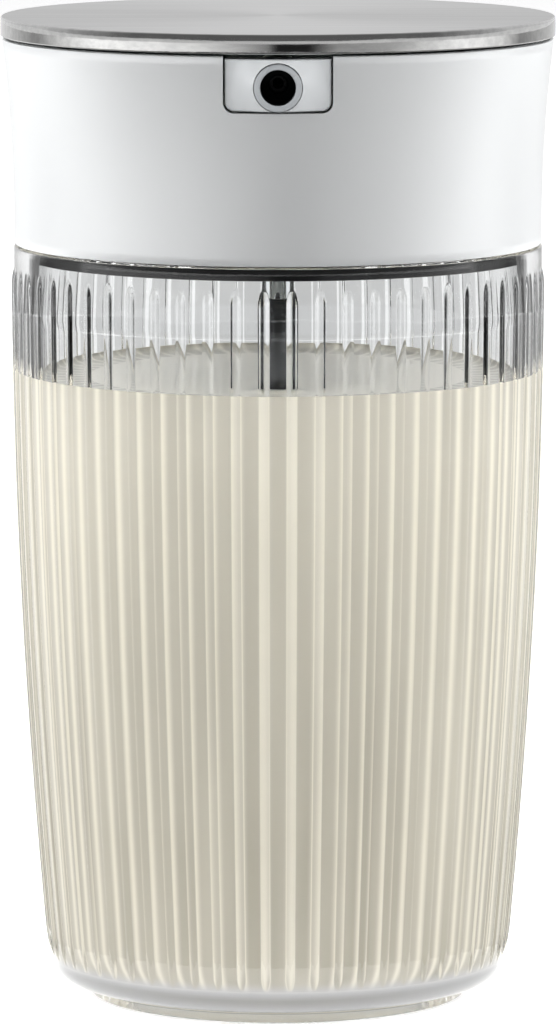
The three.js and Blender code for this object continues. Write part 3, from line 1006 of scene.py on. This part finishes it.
def pipe_tip():
    """Foot of the pipe, slotted so that milk still flows in when it stands on the floor."""
    inner = 1.7
    outer = 3.3
    obj = revolve("pipe_foot", rounded([
        (inner, TIP_LOW.z, 0.2),
        (outer, TIP_LOW.z, 0.3),
        (outer, TIP_HIGH.z, 0.3),
        (inner, TIP_HIGH.z, 0.1),
    ]), place=PIPE_AXIS, segments=64)
    slot = tongue("slot", 5, TIP_LOW.z - 1, TIP_LOW.z + 0.8, 0.05, PIPE_Y - 0.8, PIPE_Y + 0.8)
    combine(obj, slot, "DIFFERENCE")
    return obj


stand_for(pipe_tip(), "pipe_tip", DARK)

# ---- Lid ----


def steel_cap():
    """Pressed pan: flat top, rounded edge, straight rim with a turned lower lip."""
    rim = LID_LOW.z
    radius = LID_RADIUS
    sheet = 1.0
    return revolve("steel_lid", rounded([
        (0, LID_TOP),
        (radius - 14, LID_TOP),
        (radius, LID_TOP, 0.5),
        (radius, rim, 0.2),
        (radius - 0.8, rim, 0.2),
        (radius - sheet, LID_TOP - 2.0),
        (radius - sheet - 0.6, LID_TOP - sheet, 0.4),
        (0, LID_TOP - sheet),
    ], closed=False, steps=6), closed=False, segments=360)


stand_for(steel_cap(), "steel_cap", STEEL)


def disc(name, radius, low, high, edge):
    """A flat round plate with rounded edges."""
    return revolve(name, rounded([
        (0, low),
        (radius, low, edge),
        (radius, high, edge),
        (0, high),
    ], closed=False), closed=False, segments=192)


PAD_LOW, PAD_HIGH = size_of("lid_bonding_pad")
stand_for(disc("bonding_foam_disc", PAD_HIGH.x, PAD_LOW.z, PAD_HIGH.z, 0.1), "lid_bonding_pad", FOAM)

SKIRT_RADIUS = 41.3
SKIRT_GAP = 11.0


def lid_carrier():
    """Disc under the steel with a skirt, which is open where the port stands."""
    low = CARRIER_LOW.z
    under = COLLAR_TOP + 0.3
    obj = disc("lid_carrier_moulded", CARRIER_HIGH.x, under, CARRIER_HIGH.z, 0.3)
    skirt = revolve("skirt", rounded([
        (SKIRT_RADIUS, under + 1),
        (SKIRT_RADIUS, low, 0.5),
        (SKIRT_RADIUS - 2, low, 0.5),
        (SKIRT_RADIUS - 2, under + 1),
    ]), segments=192)
    gap = tongue("gap", SKIRT_GAP, low - 2, under, 0.1, -60, 0)
    combine(skirt, gap, "DIFFERENCE")
    combine(obj, skirt, "UNION")
    return obj


stand_for(lid_carrier(), "lid_carrier", GREY)


def lid_grip_band():
    """Soft lip round the skirt, open in front like the skirt."""
    inner = SKIRT_RADIUS + 0.1
    outer = NECK_RADIUS - 2.25
    obj = revolve("grip_band_moulded", rounded([
        (outer, 168, 0.2),
        (inner, 169.4, 0.1),
        (inner, 166, 0.1),
        (outer, 167, 0.2),
    ]), segments=192)
    combine(obj, tongue("gap", SKIRT_GAP, 160, 175, 0.1, -60, 0), "DIFFERENCE")
    return obj


stand_for(lid_grip_band(), "lid_grip_band", RUBBER)

# ---- Studio ----


def floor():
    """A wide pale floor that glows a little, so that it stays even."""
    half = 6000
    corners = [(-half, -half, 0), (half, -half, 0), (half, half, 0), (-half, half, 0)]
    obj = new_object("studio_floor", corners, [[0, 1, 2, 3]])
    material = principled(
        "pale_floor", Base_Color=(0.8, 0.8, 0.8, 1), Roughness=0.6,
        Emission_Color=(1, 1, 1, 1), Emission_Strength=0.42)[0]
    obj.data.materials.append(material)


floor()

STUDIO_RADIUS = 1.15          # metres from the object to the upright lights and the reflected wall


def softbox(name, place, size, radiance, target=(0, 0, 0.09)):
    """A soft rectangular light aimed at the object; what mirrors it sees the surround instead."""
    light = bpy.data.lights.new(name, "AREA")
    light.shape = "RECTANGLE"
    light.size, light.size_y = size
    light.energy = radiance * math.pi * size[0] * size[1]
    obj = bpy.data.objects.new(name, light)
    obj.location = place
    obj.rotation_euler = (Vector(target) - Vector(place)).to_track_quat("-Z", "Y").to_euler()
    obj.visible_camera = False
    obj.visible_glossy = False
    bpy.context.scene.collection.objects.link(obj)


SIDE_AZIMUTH = 68             # degrees round from the front
SIDE_HEIGHT = 0.78            # high, so that the inside of the glass doesn't mirror it over the milk

for side, name in ((-1, "left"), (1, "right")):
    away = math.radians(side * SIDE_AZIMUTH)
    place = (STUDIO_RADIUS * math.sin(away), -STUDIO_RADIUS * math.cos(away), SIDE_HEIGHT)
    softbox(f"{name}_softbox", place, (1.5, 0.9), 8.8, (0, 0, 0.12))
softbox("front_softbox", (0, -1.5, 1.1), (1.6, 0.6), 1.0)
softbox("top_softbox", (0, 0.9, 1.5), (2.6, 1.8), 1.2, (0, 0.5, 0))

# Brightness that reflections find, by azimuth in degrees; 0 is in front of the milk port.
# The wall has a black flag in front, tall lights at the sides and a dark gap behind each of them.
WALL_LEVELS = [
    (-180, 0.9), (-147, 0.8), (-117, 0.35), (-100, 0.9), (-80, 1.5), (-50, 1.3), (-30, 1.0), (-14, 0.6),
    (-4, 0.3), (-1, 0.02), (13, 0.02), (24, 0.4), (45, 0.5), (62, 0.9), (82, 1.4), (103, 1.1),
    (118, 0.33), (140, 0.6), (180, 0.9),
]
TABLE_LEVELS = [
    (-180, 0.35), (-168, 0.5), (-150, 1.3), (-110, 0.95), (-90, 0.54), (-70, 0.27), (-50, 0.14),
    (-30, 0.1), (0, 0.11), (30, 0.13), (50, 0.2), (70, 0.31), (90, 0.5), (110, 0.83), (150, 1.15),
    (168, 0.5), (180, 0.35),
]
# Behind the object, seen through the clear glass: pale, with a bright and then a dark band each side.
BEHIND_LEVELS = [
    (96, 1.1), (103, 0.02), (142, 0.02), (147, 1.0), (164, 1.05), (172, 0.66), (180, 0.64), (188, 0.66),
    (196, 1.05), (213, 1.0), (218, 0.02), (257, 0.02), (264, 1.1),
]
# In front, mirrored by the inside of the glass, which would be grey over the dark seal otherwise.
IN_FRONT_LEVELS = [
    (-96, 1.2), (-70, 0.6), (-50, 0.3), (-30, 0.13), (30, 0.13), (50, 0.3), (70, 0.6), (96, 1.2),
]


def glow_material(name):
    """A light as bright as the mesh's glow attribute."""
    material = bpy.data.materials.new(name)
    material.use_nodes = True
    tree = material.node_tree
    tree.nodes.clear()
    reader = tree.nodes.new("ShaderNodeAttribute")
    reader.attribute_name = "glow"
    emission = tree.nodes.new("ShaderNodeEmission")
    output = tree.nodes.new("ShaderNodeOutputMaterial")
    tree.links.new(reader.outputs["Fac"], emission.inputs["Strength"])
    tree.links.new(emission.outputs["Emission"], output.inputs["Surface"])
    return material


def surround(name, inner, outer, levels, through_glass=False):
    """A glowing ring between two (radius, height) edges in metres; either gloss or glass shows it."""
    step = 2                  # degrees
    azimuths = np.arange(levels[0][0], levels[-1][0] + step, step)
    verts = []
    glow = []
    for azimuth in azimuths:
        angle = math.radians(azimuth)
        for radius, height in (inner, outer):
            verts.append((radius * math.sin(angle) / MM, -radius * math.cos(angle) / MM, height / MM))
            glow.append(np.interp(azimuth, *zip(*levels)))
    faces = [[2 * s, 2 * s + 2, 2 * s + 3, 2 * s + 1] for s in range(len(azimuths) - 1)]
    obj = new_object(name, verts, faces)
    obj.data.attributes.new("glow", "FLOAT", "POINT").data.foreach_set("value", glow)
    obj.data.materials.append(glow_material(name))
    obj.visible_camera = False
    obj.visible_diffuse = False
    obj.visible_shadow = False
    obj.visible_transmission = through_glass
    obj.visible_glossy = not through_glass


WALL_FOOT = (STUDIO_RADIUS, 0.002)
TABLE_EDGE = (STUDIO_RADIUS, 0.001)
TABLE_MIDDLE = (0.1, 0.001)

surround("reflected_wall", WALL_FOOT, (STUDIO_RADIUS, 0.11), WALL_LEVELS)
surround("reflected_table", (0.06, 0.001), TABLE_EDGE, TABLE_LEVELS)
surround("wall_behind", WALL_FOOT, (STUDIO_RADIUS, 0.5), BEHIND_LEVELS, True)
surround("table_behind", TABLE_MIDDLE, TABLE_EDGE, BEHIND_LEVELS, True)
surround("table_in_front", TABLE_MIDDLE, TABLE_EDGE, IN_FRONT_LEVELS, True)

# Brightness of the world by how far round it is, from 0 behind the camera to 1 behind the object.
WORLD_LEVELS = [(0.0, 0.13), (0.3, 0.17), (0.5, 0.4), (0.7, 0.7), (1.0, 0.84)]
WORLD_BLUE = 1.01


def world():
    """Soft surround, dimmest behind the camera and brightest behind the object."""
    scene_world = bpy.data.worlds.new("studio")
    bpy.context.scene.world = scene_world
    scene_world.use_nodes = True
    tree = scene_world.node_tree
    background = tree.nodes["Background"]
    place = tree.nodes.new("ShaderNodeTexCoord")
    split = tree.nodes.new("ShaderNodeSeparateXYZ")
    tree.links.new(place.outputs["Generated"], split.inputs["Vector"])
    spread = add_range(tree, split.outputs["Y"], -1, 1)
    ramp = tree.nodes.new("ShaderNodeValToRGB")
    elements = ramp.color_ramp.elements
    for _ in WORLD_LEVELS[2:]:
        elements.new(0.5)
    for element, (position, level) in zip(elements, WORLD_LEVELS):
        element.position = position
        element.color = (level, level, level * WORLD_BLUE, 1)
    tree.links.new(spread, ramp.inputs["Fac"])
    tree.links.new(ramp.outputs["Color"], background.inputs["Color"])


world()

# ---- Camera ----

CAMERA_DISTANCE = 1.4736
CAMERA_HEIGHT = 0.2746
CAMERA_TILT = 82.711          # degrees from looking straight down
CAMERA_LENS = 293.45          # millimetres


def camera():
    """The photograph's view: from the front and a little above."""
    data = bpy.data.cameras.new("camera")
    data.lens = CAMERA_LENS
    data.sensor_width = 36
    data.clip_end = 50
    obj = bpy.data.objects.new("camera", data)
    obj.location = (0, -CAMERA_DISTANCE, CAMERA_HEIGHT)
    obj.rotation_euler = (math.radians(CAMERA_TILT), 0, 0)
    bpy.context.scene.collection.objects.link(obj)
    bpy.context.scene.camera = obj


camera()

bpy.context.scene.view_settings.view_transform = "Standard"
